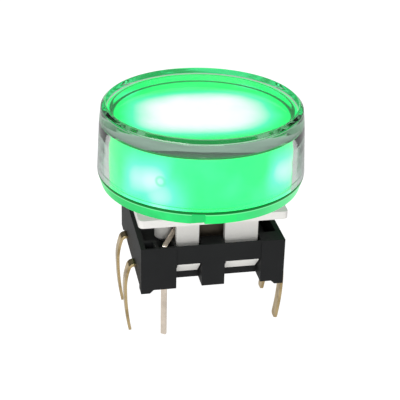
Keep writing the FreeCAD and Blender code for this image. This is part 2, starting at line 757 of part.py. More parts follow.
notch_cut = pocket(cap_base_ring, notch, "dim.ring_height", "pry_notch")
repeat_opposite(cap_base_ring, "opposite_notch", [notch_cut])

# Diffuser: milky cup that spreads the lamp's light, set over the upstand.
# A thin rim round its top makes a tray for the lens's plug.
diffuser = new_body("diffuser")
cup = revolve(
    diffuser,
    "cup",
    [
        (diffuser_inner, seam),
        (diffuser_radius, seam),
        (diffuser_radius, diffuser_top),
        (tray_radius, diffuser_top),
        (tray_radius, tray_floor),
        ("0", tray_floor),
        ("0", diffuser_roof),
        (diffuser_inner, diffuser_roof),
    ],
)
dress_edges(
    diffuser,
    cup,
    "Chamfer",
    "cup_edge",
    "dim.diffuser_edge",
    lambda edge: is_circle_at(edge, value_of(diffuser_radius), value_of(diffuser_top)),
)

# Lens cap: clear cap bonded to the ring at the seam.
# Under its flat top a thick plug fills the diffuser's tray.
lens_cap = new_body("lens_cap")
plug_radius = f"({tray_radius} - dim.fit_gap)"
plug_bottom = f"({tray_floor} + dim.fit_gap)"
lens_top_radius = f"({cap_radius} - dim.lens_top_inset)"
shell = revolve(
    lens_cap,
    "lens",
    [
        (lens_bore, seam),
        (cap_radius, seam),
        (f"{cap_radius} - dim.lens_shoulder_inset", f"{lens_top} - dim.lens_crown_height"),
        (lens_top_radius, lens_top),
        ("0", lens_top),
        ("0", plug_bottom),
        (plug_radius, plug_bottom),
        (plug_radius, ceiling),
        (lens_bore, ceiling),
    ],
)
dress_edges(
    lens_cap,
    shell,
    "Chamfer",
    "lens_edge",
    "dim.lens_edge",
    lambda edge: is_circle_at(edge, value_of(lens_top_radius), value_of(lens_top)),
)

doc.recompute()

# Every feature has to be sound, and every cut has to take something away.
for item in doc.Objects:
    if "Invalid" in item.State or "Error" in item.State:
        raise RuntimeError(f"{item.Label} failed to build: {item.State}")
    if item.TypeId == "PartDesign::Pocket" and item.BaseFeature is not None:
        if item.Shape.Volume > item.BaseFeature.Shape.Volume - 1e-6:
            raise RuntimeError(f"{item.Label} cuts nothing")

pieces = [
    lens_cap,
    diffuser,
    cap_base_ring,
    led_lamp,
    led_lead_front,
    led_lead_rear,
    slider,
    tact_stem,
    snap_dome,
    inner_cover,
    contact_strip_front,
    contact_strip_rear,
    housing,
]
for piece in pieces:
    if piece.Shape.isNull() or not piece.Shape.isValid():
        raise RuntimeError(f"{piece.Label} is not a valid solid")

os.makedirs("parts", exist_ok=True)
for piece in pieces:
    piece.Shape.exportStep(f"parts/{piece.Label}.step")
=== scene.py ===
import math

import bmesh
import bpy
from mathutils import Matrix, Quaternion, Vector


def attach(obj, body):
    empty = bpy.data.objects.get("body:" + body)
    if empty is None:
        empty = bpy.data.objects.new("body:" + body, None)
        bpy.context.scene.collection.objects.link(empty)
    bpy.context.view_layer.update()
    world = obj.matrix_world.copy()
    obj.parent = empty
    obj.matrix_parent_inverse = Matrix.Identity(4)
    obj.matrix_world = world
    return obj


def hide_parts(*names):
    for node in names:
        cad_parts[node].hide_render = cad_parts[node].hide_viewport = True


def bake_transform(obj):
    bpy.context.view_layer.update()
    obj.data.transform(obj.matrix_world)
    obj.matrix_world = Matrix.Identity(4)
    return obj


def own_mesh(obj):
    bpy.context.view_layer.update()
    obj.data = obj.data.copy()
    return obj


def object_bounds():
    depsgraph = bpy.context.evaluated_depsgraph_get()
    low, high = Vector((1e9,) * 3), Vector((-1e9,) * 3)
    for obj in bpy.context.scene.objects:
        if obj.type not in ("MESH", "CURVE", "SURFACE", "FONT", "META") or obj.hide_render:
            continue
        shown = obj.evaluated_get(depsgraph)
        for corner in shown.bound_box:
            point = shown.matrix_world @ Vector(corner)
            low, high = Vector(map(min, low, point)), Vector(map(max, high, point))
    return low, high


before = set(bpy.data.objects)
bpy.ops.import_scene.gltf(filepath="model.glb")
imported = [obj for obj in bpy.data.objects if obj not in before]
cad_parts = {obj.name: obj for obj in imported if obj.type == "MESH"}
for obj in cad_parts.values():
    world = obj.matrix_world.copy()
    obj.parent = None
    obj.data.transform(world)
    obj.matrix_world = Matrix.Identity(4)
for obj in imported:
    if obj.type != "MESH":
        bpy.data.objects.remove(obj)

cad_box = [list(corner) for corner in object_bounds()]

# Contact strips
# Two stamped brass strips, moulded into the floor of the housing. Each ends in
# two legs that curve out and down past the housing's sides to grip the board.
mm = 0.001
strip_width = 1.05 * mm
strip_thickness = 0.25 * mm
strip_middle = 0.925 * mm
strip_row = 2.5 * mm
tongue_half_width = 0.7 * mm
tongue_end = 0.9 * mm
arm_inner = 2.7 * mm
arm_outer = 3.5 * mm
arm_end = -1.2 * mm
leg_bend_start = 6.11 * mm
leg_bend_radius = 0.45 * mm
leg_swell_radius = 6.0 * mm
leg_swell_drop = 1.8 * mm
leg_lean = 0.39 * mm
leg_end = -5.6 * mm
leg_tip_rounding = 0.3 * mm
leg_bend_steps = 10
leg_swell_steps = 8
leg_bow_steps = 14
stamped_edge = 0.035 * mm
same_place = 1e-7
tarnish_roughening = 0.25
grain_roughening = 0.12


def open_primitive(name, add, **sizes):
    """Add a primitive with nothing else selected, and open it in edit mode."""
    bpy.ops.object.select_all(action="DESELECT")
    add(**sizes)
    piece = bpy.context.object
    piece.name = name
    bpy.ops.object.mode_set(mode="EDIT")
    return piece


def choose(kind, test):
    """Select only those vertices, edges or faces of the open mesh that pass a test."""
    bpy.ops.mesh.select_mode(type=kind)
    bpy.ops.mesh.select_all(action="DESELECT")
    mesh = bpy.context.object.data
    form = bmesh.from_edit_mesh(mesh)
    parts = {"VERT": form.verts, "EDGE": form.edges, "FACE": form.faces}[kind]
    for part in parts:
        if test(part):
            part.select_set(True)
    form.select_flush_mode()
    bmesh.update_edit_mesh(mesh)


def extrude(x=0, y=0, z=0):
    """Extrude what is selected by a step."""
    bpy.ops.mesh.extrude_region_move(TRANSFORM_OT_translate={"value": (x, y, z)})


def bend(angle, steps, x, y, z):
    """Extrude the selected end round an axis that runs front to back."""
    bpy.ops.mesh.spin(steps=steps, angle=-angle, center=(x, y, z), axis=(0, 1, 0))


def apply_modifier(piece, kind, **settings):
    """Add a modifier with these settings and apply it."""
    modifier = piece.modifiers.new(kind, kind)
    for name, value in settings.items():
        setattr(modifier, name, value)
    bpy.ops.object.modifier_apply(modifier=modifier.name)


def round_edges(piece, width, angle=40):
    """Round the edges that turn by more than an angle in degrees."""
    apply_modifier(piece, "BEVEL", width=width, segments=2, angle_limit=math.radians(angle))


def enlarge(piece, factor):
    """Scale a piece's mesh about the origin."""
    piece.scale = (factor, factor, factor)
    bpy.ops.object.transform_apply(location=False, rotation=False, scale=True)


def fit(piece, node, body, finish, smooth=35):
    """Smooth a piece, give it its finish, and let it stand for its node on a body.

    Normals are weighed by area at a thousand times the size, because smaller areas count as none.
    """
    bpy.ops.object.shade_smooth_by_angle(angle=math.radians(smooth))
    enlarge(piece, 1 / mm)
    apply_modifier(piece, "WEIGHTED_NORMAL", keep_sharp=True)
    enlarge(piece, mm)
    piece.data.materials.clear()
    piece.data.materials.append(finish)
    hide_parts(node)
    if body:
        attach(piece, body)


def add_node(tree, kind, inputs=(), **settings):
    """Add a shader node with its settings, and a value or link for each named input."""
    made = tree.nodes.new("ShaderNode" + kind)
    for name, value in settings.items():
        setattr(made, name, value)
    for name, value in dict(inputs).items():
        if isinstance(value, bpy.types.NodeSocket):
            tree.links.new(value, made.inputs[name])
        else:
            made.inputs[name].default_value = value
    return made


def calculate(tree, operation, first, second):
    """The result socket of a sum on two sockets or numbers."""
    return add_node(tree, "Math", {0: first, 1: second}, operation=operation).outputs[0]


def product(tree, first, second):
    """The product of two sockets or numbers."""
    return calculate(tree, "MULTIPLY", first, second)


def tinge(tree, mask, colour, new_colour):
    """A colour that changes to a new one where the mask is full."""
    colours = {0: mask, 6: colour, 7: new_colour}
    return add_node(tree, "Mix", colours, data_type="RGBA").outputs[2]


def millimetres(tree):
    """The surface's own coordinates, in millimetres."""
    place = add_node(tree, "TexCoord").outputs["Object"]
    scaled = {0: place, 1: (1 / mm, 1 / mm, 1 / mm)}
    return add_node(tree, "VectorMath", scaled, operation="MULTIPLY").outputs[0]


def open_group(name, inputs, outputs):
    """A node group with named sockets: its tree, the inputs' sockets and the output node."""
    tree = bpy.data.node_groups.new(name, "ShaderNodeTree")
    for label, value in inputs.items():
        kind = "NodeSocketColor" if isinstance(value, tuple) else "NodeSocketFloat"
        socket = tree.interface.new_socket(label, in_out="INPUT", socket_type=kind)
        socket.default_value = value
    for label, kind in outputs.items():
        tree.interface.new_socket(label, in_out="OUTPUT", socket_type="NodeSocket" + kind)
    return tree, tree.nodes.new("NodeGroupInput").outputs, tree.nodes.new("NodeGroupOutput").inputs


drawn_metal, given, result = open_group(
    "drawn_metal",
    {
        "Colour": (0.8, 0.8, 0.8, 1),
        "Tarnish colour": (0.4, 0.4, 0.4, 1),
        "Tarnish": 0.5,
        "Roughness": 0.3,
    },
    {"Colour": "Color", "Roughness": "Float", "Height": "Float"},
)
place = millimetres(drawn_metal)
cloud = add_node(drawn_metal, "TexNoise", {"Vector": place, "Scale": 0.9, "Detail": 5})
cover = {"Value": cloud.outputs["Fac"], "From Min": 0.46, "From Max": 0.72}
cloud = add_node(drawn_metal, "MapRange", cover).outputs["Result"]
tarnish = product(drawn_metal, cloud, given["Tarnish"])
tinted = tinge(drawn_metal, tarnish, given["Colour"], given["Tarnish colour"])
drawn_metal.links.new(tinted, result["Colour"])
fine = add_node(drawn_metal, "TexNoise", {"Vector": place, "Scale": 11, "Detail": 4}).outputs["Fac"]
duller = product(drawn_metal, tarnish, tarnish_roughening)
rough = calculate(drawn_metal, "ADD", given["Roughness"], duller)
grain = product(drawn_metal, fine, grain_roughening)
drawn_metal.links.new(calculate(drawn_metal, "ADD", rough, grain), result["Roughness"])
drawn_metal.links.new(fine, result["Height"])


def open_finish(name):
    """A new material: its tree and its principled shader."""
    finish = bpy.data.materials.new(name)
    finish.use_nodes = True
    return finish, finish.node_tree, finish.node_tree.nodes["Principled BSDF"]


def wire_finish(tree, shader, group, bump):
    """Lead a surface group's colour, roughness and height to the shader."""
    tree.links.new(group.outputs["Colour"], shader.inputs["Base Color"])
    tree.links.new(group.outputs["Roughness"], shader.inputs["Roughness"])
    height = {"Height": group.outputs["Height"], "Strength": 0.4, "Distance": bump}
    tree.links.new(add_node(tree, "Bump", height).outputs["Normal"], shader.inputs["Normal"])


def metal_finish(name, colour, tarnish_colour, tarnish, roughness):
    """A drawn or rolled metal with dull patches."""
    finish, tree, shader = open_finish(name)
    values = {
        "Colour": colour,
        "Tarnish colour": tarnish_colour,
        "Tarnish": tarnish,
        "Roughness": roughness,
    }
    shader.inputs["Metallic"].default_value = 1
    group = add_node(tree, "Group", values, node_tree=drawn_metal)
    wire_finish(tree, shader, group, bump=0.01 * mm)
    return finish


brass = metal_finish(
    "terminal_brass",
    colour=(0.68, 0.52, 0.28, 1),
    tarnish_colour=(0.24, 0.155, 0.06, 1),
    tarnish=0.8,
    roughness=0.13,
)


def stamp_strip(name, row):
    """Half a strip and its leg, drawn outwards from the middle, left open in edit mode."""
    piece = open_primitive(name, bpy.ops.mesh.primitive_plane_add, size=1)
    bpy.ops.transform.resize(value=(strip_thickness, strip_width, 1))
    bpy.ops.transform.rotate(value=math.pi / 2, orient_axis="Y", center_override=(0, 0, 0))
    bpy.ops.transform.translate(value=(0, row, strip_middle))
    reached = 0
    for stop in (tongue_half_width, arm_inner, arm_outer, leg_bend_start):
        extrude(x=stop - reached)
        reached = stop
    step = leg_swell_radius - leg_bend_radius
    swell_angle = math.asin(leg_swell_drop / step)
    bend_height = strip_middle - leg_bend_radius
    bend(math.pi / 2 - swell_angle, leg_bend_steps, leg_bend_start, row, bend_height)
    swell_x = leg_bend_start - step * math.cos(swell_angle)
    swell_height = bend_height - leg_swell_drop
    bend(swell_angle, leg_swell_steps, swell_x, row, swell_height)
    bow_drop = swell_height - leg_end
    bow_radius = (leg_lean**2 + bow_drop**2) / (2 * leg_lean)
    bow_x = swell_x + leg_swell_radius - bow_radius
    bend(math.asin(bow_drop / bow_radius), leg_bow_steps, bow_x, row, swell_height)
    tip = leg_end + strip_thickness / 2
    choose(
        "EDGE",
        lambda edge: all(v.co.z < tip and v.co.y == edge.verts[0].co.y for v in edge.verts),
    )
    bpy.ops.mesh.bevel(offset=leg_tip_rounding, segments=4)
    return piece


def finish_strip(piece, node):
    """Mirror a half strip, break its stamped edges and fit it."""
    choose("FACE", lambda face: all(v.co.x < same_place for v in face.verts))
    bpy.ops.mesh.delete(type="FACE")
    bpy.ops.mesh.select_all(action="SELECT")
    bpy.ops.mesh.remove_doubles(threshold=same_place)
    bpy.ops.mesh.normals_make_consistent(inside=False)
    bpy.ops.object.mode_set(mode="OBJECT")
    apply_modifier(
        piece,
        "MIRROR",
        use_axis=(True, False, False),
        use_clip=True,
        merge_threshold=1e-6,
    )
    round_edges(piece, stamped_edge)
    fit(piece, node, "base", brass)


front_strip = stamp_strip("front_contact_strip", -strip_row)
inner_side = -strip_row + strip_width / 2
choose(
    "FACE",
    lambda face: face.calc_center_median().x < tongue_half_width
    and all(abs(v.co.y - inner_side) < same_place for v in face.verts),
)
extrude(y=tongue_end - inner_side)
finish_strip(front_strip, "contact_strip_front")

rear_strip = stamp_strip("rear_contact_strip", strip_row)
inner_side = strip_row - strip_width / 2
choose(
    "FACE",
    lambda face: arm_inner < face.calc_center_median().x < arm_outer
    and all(abs(v.co.y - inner_side) < same_place for v in face.verts),
)
extrude(y=arm_end - inner_side)
finish_strip(rear_strip, "contact_strip_rear")

# Housing
# The black filled-polyester box that everything else sits in. It stands on
# four corner feet, and its end walls have slots for the slider's legs.
moulded_edge = 0.06 * mm
noise_middle = 0.5

moulded_grain, given, result = open_group(
    "moulded_grain",
    {
        "Colour": (0.5, 0.5, 0.5, 1),
        "Colour change": 0.1,
        "Roughness": 0.5,
        "Roughness change": 0.2,
        "Grain per mm": 9.0,
    },
    {"Colour": "Color", "Roughness": "Float", "Height": "Float"},
)
place = millimetres(moulded_grain)
flow = {"Vector": place, "Scale": 0.45, "Detail": 3}
flow = add_node(moulded_grain, "TexNoise", flow).outputs["Fac"]
fine = {"Vector": place, "Scale": given["Grain per mm"], "Detail": 4}
fine = add_node(moulded_grain, "TexNoise", fine).outputs["Fac"]
swing = calculate(moulded_grain, "SUBTRACT", flow, noise_middle)
swing = product(moulded_grain, swing, given["Colour change"])
speck = calculate(moulded_grain, "SUBTRACT", fine, noise_middle)
speck_tone = product(moulded_grain, speck, given["Colour change"])
tone = calculate(moulded_grain, "ADD", calculate(moulded_grain, "ADD", swing, speck_tone), 1)
shaded = {"Color": given["Colour"], "Value": tone}
shaded = add_node(moulded_grain, "HueSaturation", shaded).outputs["Color"]
moulded_grain.links.new(shaded, result["Colour"])
rough = product(moulded_grain, speck, given["Roughness change"])
rough = calculate(moulded_grain, "ADD", rough, given["Roughness"])
moulded_grain.links.new(rough, result["Roughness"])
moulded_grain.links.new(fine, result["Height"])


def plastic_finish(name, colour, change, roughness, grain, specular, bump):
    """A moulded plastic with a fine grain and faint flow clouds."""
    finish, tree, shader = open_finish(name)
    values = {
        "Colour": colour,
        "Colour change": change,
        "Roughness": roughness,
        "Roughness change": 0.3,
        "Grain per mm": grain,
    }
    shader.inputs["Specular IOR Level"].default_value = specular
    group = add_node(tree, "Group", values, node_tree=moulded_grain)
    wire_finish(tree, shader, group, bump)
    return finish


black_polyester = plastic_finish(
    "black_polyester",
    colour=(0.0085, 0.009, 0.0095, 1),
    change=0.5,
    roughness=0.55,
    grain=12,
    specular=0.2,
    bump=0.012 * mm,
)


def open_copy(name, node):
    """A copy of a CAD node with its loose triangles joined into whole faces."""
    bpy.ops.object.select_all(action="DESELECT")
    piece = bpy.data.objects.new(name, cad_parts[node].data.copy())
    bpy.context.collection.objects.link(piece)
    bpy.context.view_layer.objects.active = piece
    piece.select_set(True)
    bpy.ops.mesh.customdata_custom_splitnormals_clear()
    bpy.ops.object.mode_set(mode="EDIT")
    bpy.ops.mesh.select_all(action="SELECT")
    bpy.ops.mesh.remove_doubles(threshold=0.001 * mm)
    bpy.ops.mesh.dissolve_limited(angle_limit=math.radians(0.5))
    bpy.ops.object.mode_set(mode="OBJECT")
    return piece


housing = open_copy("housing_box", "housing")
round_edges(housing, moulded_edge)
fit(housing, "housing", "base", black_polyester)

# Snap dome
# A disc of sprung steel, pressed into a shallow dome. It lies loose on the rear
# strip's arms and clicks down on the front strip's tongue.
dome_rim = 3.6 * mm
dome_height = 0.55 * mm
dome_foot = 1.05 * mm
dome_thickness = 0.1 * mm
dome_steps = 96
dome_sphere = (dome_rim**2 + dome_height**2) / (2 * dome_height)
dome_centre = dome_foot + dome_height - dome_sphere


def draw_profile(name, corners, closed=False):
    """Draw a turned piece's half section, (radius, height, rounding) by corner."""
    piece = open_primitive(name, bpy.ops.mesh.primitive_plane_add, size=mm)
    bpy.ops.mesh.select_mode(type="VERT")
    bpy.ops.mesh.merge(type="CENTER")
    points = [Vector((radius, 0, height)) for radius, height, rounding in corners]
    bpy.ops.transform.translate(value=points[0])
    for here, there in zip(points, points[1:]):
        bpy.ops.mesh.extrude_vertices_move(TRANSFORM_OT_translate={"value": there - here})
    if closed:
        ends = (points[0], points[-1])
        choose("VERT", lambda v: min((v.co - end).length for end in ends) < same_place)
        bpy.ops.mesh.edge_face_add()
    for point, (radius, height, rounding) in zip(points, corners):
        if rounding:
            choose("VERT", lambda v: (v.co - point).length < same_place)
            bpy.ops.mesh.bevel(offset=rounding, segments=6, affect="VERTICES")
    return piece


def turn(steps):
    """Spin the open half section round the button's axis into a closed piece."""
    bpy.ops.mesh.select_all(action="SELECT")
    bpy.ops.mesh.spin(steps=steps, angle=2 * math.pi, center=(0, 0, 0), axis=(0, 0, 1))
    bpy.ops.mesh.select_all(action="SELECT")
    bpy.ops.mesh.remove_doubles(threshold=same_place)
    bpy.ops.mesh.normals_make_consistent(inside=False)
    bpy.ops.object.mode_set(mode="OBJECT")


spring_steel = metal_finish(
    "spring_steel",
    colour=(0.72, 0.72, 0.70, 1),
    tarnish_colour=(0.45, 0.44, 0.42, 1),
    tarnish=0.4,
    roughness=0.22,
)


def trim_dome():
    """Cut the open dome off level at its foot, and close the cut."""
    bpy.ops.mesh.select_all(action="SELECT")
    bpy.ops.mesh.bisect(
        plane_co=(0, 0, dome_foot),
        plane_no=(0, 0, 1),
        clear_inner=True,
        use_fill=True,
        threshold=same_place,
    )


dome = open_primitive(
    "snap_dome_disc",
    bpy.ops.mesh.primitive_uv_sphere_add,
    segments=dome_steps,
    ring_count=4 * dome_steps,
    radius=dome_sphere,
    location=(0, 0, dome_centre),
)
trim_dome()
choose("FACE", lambda face: len(face.verts) > 4)
bpy.ops.mesh.delete(type="FACE")
bpy.ops.object.mode_set(mode="OBJECT")
bpy.ops.object.transform_apply(location=True)
apply_modifier(dome, "SOLIDIFY", thickness=dome_thickness, offset=-1)
bpy.ops.object.mode_set(mode="EDIT")
trim_dome()
bpy.ops.object.mode_set(mode="OBJECT")
fit(dome, "snap_dome", "base", spring_steel)
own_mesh(dome)

# Stem
# The tact switch's brown plunger. Its collar is trapped under the inner cover,
# its nub rests on the snap dome, and the slider presses on its flat top.
stem_steps = 96
stem_foot = 1.6 * mm
stem_nub = 1.0 * mm
stem_radius = 3.4 * mm
stem_top = 5.5 * mm
collar_radius = 4.0 * mm
collar_bottom = 1.8 * mm
collar_top = 2.2 * mm
collar_edge = 0.08 * mm
stem_edge = 0.12 * mm

brown_resin = plastic_finish(
    "brown_resin",
    colour=(0.105, 0.084, 0.062, 1),
    change=0.35,
    roughness=0.5,
    grain=9,
    specular=0.35,
    bump=0.01 * mm,
)
stem = draw_profile(
    "tact_plunger",
    [
        (0, stem_foot, 0),
        (stem_nub, stem_foot, stem_edge),
        (stem_nub, collar_bottom, 0),
        (collar_radius, collar_bottom, collar_edge),
        (collar_radius, collar_top, collar_edge),
        (stem_radius, collar_top, 0),
        (stem_radius, stem_top, stem_edge),
        (0, stem_top, 0),
    ],
)
turn(stem_steps)
fit(stem, "tact_stem", "button", brown_resin)

# Inner cover
# A black plate on the cavity's floor that guides the stem and holds the dome
# in its well. Four stakes of the housing are melted over its corners.
cover = open_copy("inner_cover_plate", "inner_cover")
round_edges(cover, moulded_edge)
fit(cover, "inner_cover", "base", black_polyester)

# Slider
# The white moulding that carries the lamp and the cap. Its four legs run in the
# housing's slots and hook under the bridges, and its posts stop the stroke.
slider_edge = 0.07 * mm

white_acetal = plastic_finish(
    "white_acetal",
    colour=(0.70, 0.69, 0.655, 1),
    change=0.07,
    roughness=0.42,
    grain=7,
    specular=0.4,
    bump=0.008 * mm,
)
slider = open_copy("slider_carrier", "slider")
round_edges(slider, slider_edge)
fit(slider, "slider", "button", white_acetal)

# Lamp
# The LED: green epoxy, cast in one piece with a collar at its foot and a round
# head. It stands on the slider's pedestal inside the diffuser.
lamp_steps = 64
lamp_foot = 7.5 * mm
lamp_collar = 1.7 * mm
lamp_collar_top = 8.2 * mm
lamp_collar_edge = 0.06 * mm
lamp_radius = 1.3 * mm
lamp_head_rounding = 1.299 * mm
lamp_top = 9.8 * mm

lamp_epoxy, tree, shader = open_finish("lamp_epoxy")
place = millimetres(tree)
bubble = add_node(tree, "TexNoise", {"Vector": place, "Scale": 2.5, "Detail": 3}).outputs["Fac"]
tint = add_node(tree, "ValToRGB", {"Fac": bubble})
tint.color_ramp.elements[0].color = (0.10, 0.62, 0.26, 1)
tint.color_ramp.elements[1].color = (0.20, 0.80, 0.40, 1)
tree.links.new(tint.outputs["Color"], shader.inputs["Base Color"])
tree.links.new(tint.outputs["Color"], shader.inputs["Emission Color"])
shader.inputs["Emission Strength"].default_value = 1.5
shader.inputs["Roughness"].default_value = 0.12
lamp = draw_profile(
    "led_lamp_body",
    [
        (0, lamp_foot, 0),
        (lamp_collar, lamp_foot, lamp_collar_edge),
        (lamp_collar, lamp_collar_top, lamp_collar_edge),
        (lamp_radius, lamp_collar_top, 0),
        (lamp_radius, lamp_top, lamp_head_rounding),
        (0, lamp_top, 0),
    ],
)
turn(lamp_steps)
fit(lamp, "led_lamp", "button", lamp_epoxy)
lamp.visible_diffuse = False

# Lamp leads
# Two tinned flat wires from the lamp. Each passes down through the slider,
# slants out to a corner of the housing and goes down through it as a pin.
wire_thickness = 0.28 * mm
wire_width = 0.48 * mm
wire_edge = 0.05 * mm
wire_bend = 0.45 * mm
pin_place = Vector((3.9 * mm, 5.0 * mm))
pin_tip = -4.8 * mm
pin_head = 3.55 * mm
riser_reach = 3.79 * mm
riser_foot = 4.55 * mm
riser_top = 7.0 * mm
lamp_reach = 1.27 * mm
wire_turns = 6
wire_parts = 3
wire_route = [
    (-pin_place.length, pin_tip),
    (-pin_place.length, pin_head),
    (-riser_reach, riser_foot),
    (-riser_reach, riser_top),
    (-lamp_reach, riser_top),
    (-lamp_reach, lamp_foot),
]

tinned_wire = metal_finish(
    "tinned_wire",
    colour=(0.97, 0.85, 0.72, 1),
    tarnish_colour=(0.55, 0.46, 0.37, 1),
    tarnish=0.4,
    roughness=0.16,
)


def bend_wire(name, node, azimuth):
    """Draw a lead along its route, upwards from the pin's tip, and turn it to its corner."""
    piece = open_primitive(name, bpy.ops.mesh.primitive_plane_add, size=1)
    bpy.ops.transform.resize(value=(wire_thickness, wire_width, 1))
    route = [Vector((x, 0, z)) for x, z in wire_route]
    bpy.ops.transform.translate(value=route[0])
    done = 0
    for before, corner, after in zip(route, route[1:], route[2:] + [None]):
        heading = (corner - before).normalized()
        if after is None:
            straight = (corner - before).length - done
            extrude(*(heading * straight))
            break
        leaving = (after - corner).normalized()
        angle = heading.angle(leaving)
        cut = wire_bend * math.tan(angle / 2)
        straight = (corner - before).length - done - cut
        for part in range(wire_parts):
            extrude(*(heading * straight / wire_parts))
        side = (leaving - heading * heading.dot(leaving)).normalized()
        centre = corner - heading * cut + side * wire_bend
        turning = 1 if heading.cross(leaving).y > 0 else -1
        bend(turning * angle, wire_turns, *centre)
        done = cut
    bpy.ops.mesh.select_all(action="SELECT")
    bpy.ops.mesh.normals_make_consistent(inside=False)
    bpy.ops.object.mode_set(mode="OBJECT")
    piece.rotation_euler.z = azimuth
    bpy.ops.object.transform_apply(rotation=True)
    round_edges(piece, wire_edge, angle=50)
    bpy.ops.object.mode_set(mode="EDIT")
    bpy.ops.mesh.select_all(action="SELECT")
    bpy.ops.mesh.remove_doubles(threshold=same_place)
    bpy.ops.object.mode_set(mode="OBJECT")
    fit(piece, node, None, tinned_wire)
    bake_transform(piece)


corner_angle = math.atan2(pin_place.y, pin_place.x)
bend_wire("front_lamp_lead", "led_lead_front", corner_angle)
bend_wire("rear_lamp_lead", "led_lead_rear", corner_angle + math.pi)

# Cap base ring
# A clear polycarbonate ring that snaps over the slider's neck. Its green glow from the lamp
# is painted into its material as emission, and a notch front and back lets a blade lift the cap
# off.
ring_steps = 160
fine_gap = 0.015 * mm
seam = 8.4 * mm
cap_radius = 8.73 * mm
ring_bore = 4.83 * mm
ring_foot = 7.2 * mm
ring_foot_radius = 8.38 * mm
ring_foot_rounding = 0.12 * mm
ring_bore_edge = 0.05 * mm
ring_edge = 0.08 * mm
rib_inner = 6.3 * mm
rib_outer = 7.0 * mm
rib_top = 9.3 * mm
notch_centre = 1.8 * mm
notch_width = 1.05 * mm
notch_reach = 7.94 * mm
notch_top = 8.22 * mm
notch_tool_depth = 2 * mm
notch_tool_height = 4 * mm

# Each pair is where a change in the ring's painted glow begins and where it is full, in
# millimetres.
paler_from_x = (0.5, 6)
block_from_x = (1.28, 1.2)
painted_highlight_from_z = (8.04, 8.12)
top_from_z = (8.15, 8.2)
rim_from_radius = (8.56, 8.62)
painted_highlight_share = 0.6
streaks_outward = 3
streaks_along = 0.12
deep_green = (0.002, 0.44, 0.085, 1)
hazy_green = (0.010, 0.66, 0.14, 1)
paler_green = (0.09, 0.66, 0.23, 1)
block_green = (0.004, 0.72, 0.12, 1)
top_green = (0.002, 0.42, 0.09, 1)
glow_streak_green = (0.05, 0.90, 0.31, 1)
painted_highlight_green = (0.30, 0.95, 0.45, 1)
seam_shade_green = (0.0, 0.16, 0.02, 1)
ring_tint = (0.02, 0.22, 0.07, 1)
seam_shade_tint = (0.0, 0.05, 0.01, 1)


def fade(tree, value, dark, bright):
    """A soft mask that runs from none at one value to full at another."""
    ends = {"Value": value, "From Min": dark, "From Max": bright}
    return add_node(tree, "MapRange", ends, interpolation_type="SMOOTHSTEP").outputs["Result"]


def distance_from(tree, value, middle):
    """How far a value lies from a middle one, either way."""
    return calculate(tree, "ABSOLUTE", calculate(tree, "SUBTRACT", value, middle), 0)


def let_light_pass(piece):
    """Let a clear piece, or one with painted glow, neither tint nor shade the others."""
    piece.visible_diffuse = False
    piece.visible_shadow = False


ring_clear, tree, shader = open_finish("clear_ring_painted_glow")
place = millimetres(tree)
haze = add_node(tree, "TexNoise", {"Vector": place, "Scale": 0.35, "Detail": 3}).outputs["Fac"]
glow = tinge(tree, fade(tree, haze, dark=0.35, bright=0.65), deep_green, hazy_green)
place = add_node(tree, "SeparateXYZ", {0: place}).outputs
# The painted glow turns paler towards the right, and a brighter green in a band across the middle.
glow = tinge(tree, fade(tree, place["X"], *paler_from_x), glow, paler_green)
block = fade(tree, distance_from(tree, place["X"], 0), *block_from_x)
glow = tinge(tree, block, glow, block_green)
outward = calculate(tree, "POWER", place["X"], 2)
outward = calculate(tree, "ADD", outward, calculate(tree, "POWER", place["Y"], 2))
outward = calculate(tree, "SQRT", outward, 0)
# Painted glow on the ring's top face: streaks of light that run round it.
streaks = {
    "X": product(tree, outward, streaks_outward),
    "Y": product(tree, place["X"], streaks_along),
}
streaks = add_node(tree, "CombineXYZ", streaks).outputs["Vector"]
streaks = add_node(tree, "TexNoise", {"Vector": streaks, "Scale": 1.5, "Detail": 2}).outputs["Fac"]
top_colour = tinge(tree, fade(tree, streaks, dark=0.42, bright=0.58), top_green, glow_streak_green)
# A painted highlight: a pale band along the ring's outer wall, just under its top edge.
painted_highlight = product(tree, fade(tree, place["Z"], *painted_highlight_from_z), painted_highlight_share)
glow = tinge(tree, painted_highlight, glow, painted_highlight_green)
top = fade(tree, place["Z"], *top_from_z)
glow = tinge(tree, top, glow, top_colour)
# Painted shade: a dark line round the outer edge of the ring's top, in the seam under the lens, in
# both glow and base colour.
seam_painted_shade = product(tree, top, fade(tree, outward, *rim_from_radius))
glow = tinge(tree, seam_painted_shade, glow, seam_shade_green)
tree.links.new(glow, shader.inputs["Emission Color"])
tint = tinge(tree, seam_painted_shade, ring_tint, seam_shade_tint)
tree.links.new(tint, shader.inputs["Base Color"])
shader.inputs["Emission Strength"].default_value = 0.9
shader.inputs["Specular IOR Level"].default_value = 0.15
shader.inputs["Roughness"].default_value = 0.2
ring = draw_profile(
    "cap_base_ring_clear",
    [
        (ring_bore, ring_foot, ring_bore_edge),
        (ring_foot_radius, ring_foot, ring_foot_rounding),
        (cap_radius, seam - fine_gap, ring_edge),
        (rib_outer, seam - fine_gap, 0),
        (rib_outer, rib_top, ring_edge),
        (rib_inner, rib_top, ring_edge),
        (rib_inner, seam - fine_gap, 0),
        (ring_bore, seam - fine_gap, ring_bore_edge),
    ],
    closed=True,
)
turn(ring_steps)
for side in (-1, 1):
    notch = open_primitive("pry_notch", bpy.ops.mesh.primitive_cube_add, size=1)
    bpy.ops.transform.resize(value=(notch_width, notch_tool_depth, notch_tool_height))
    notch_place = (
        side * notch_centre,
        side * (notch_reach + notch_tool_depth / 2),
        notch_top - notch_tool_height / 2,
    )
    bpy.ops.transform.translate(value=notch_place)
    bpy.ops.object.mode_set(mode="OBJECT")
    bpy.ops.object.select_all(action="DESELECT")
    bpy.context.view_layer.objects.active = ring
    ring.select_set(True)
    apply_modifier(ring, "BOOLEAN", operation="DIFFERENCE", object=notch, solver="EXACT")
    bpy.data.objects.remove(notch)
fit(ring, "cap_base_ring", "button", ring_clear)
let_light_pass(ring)
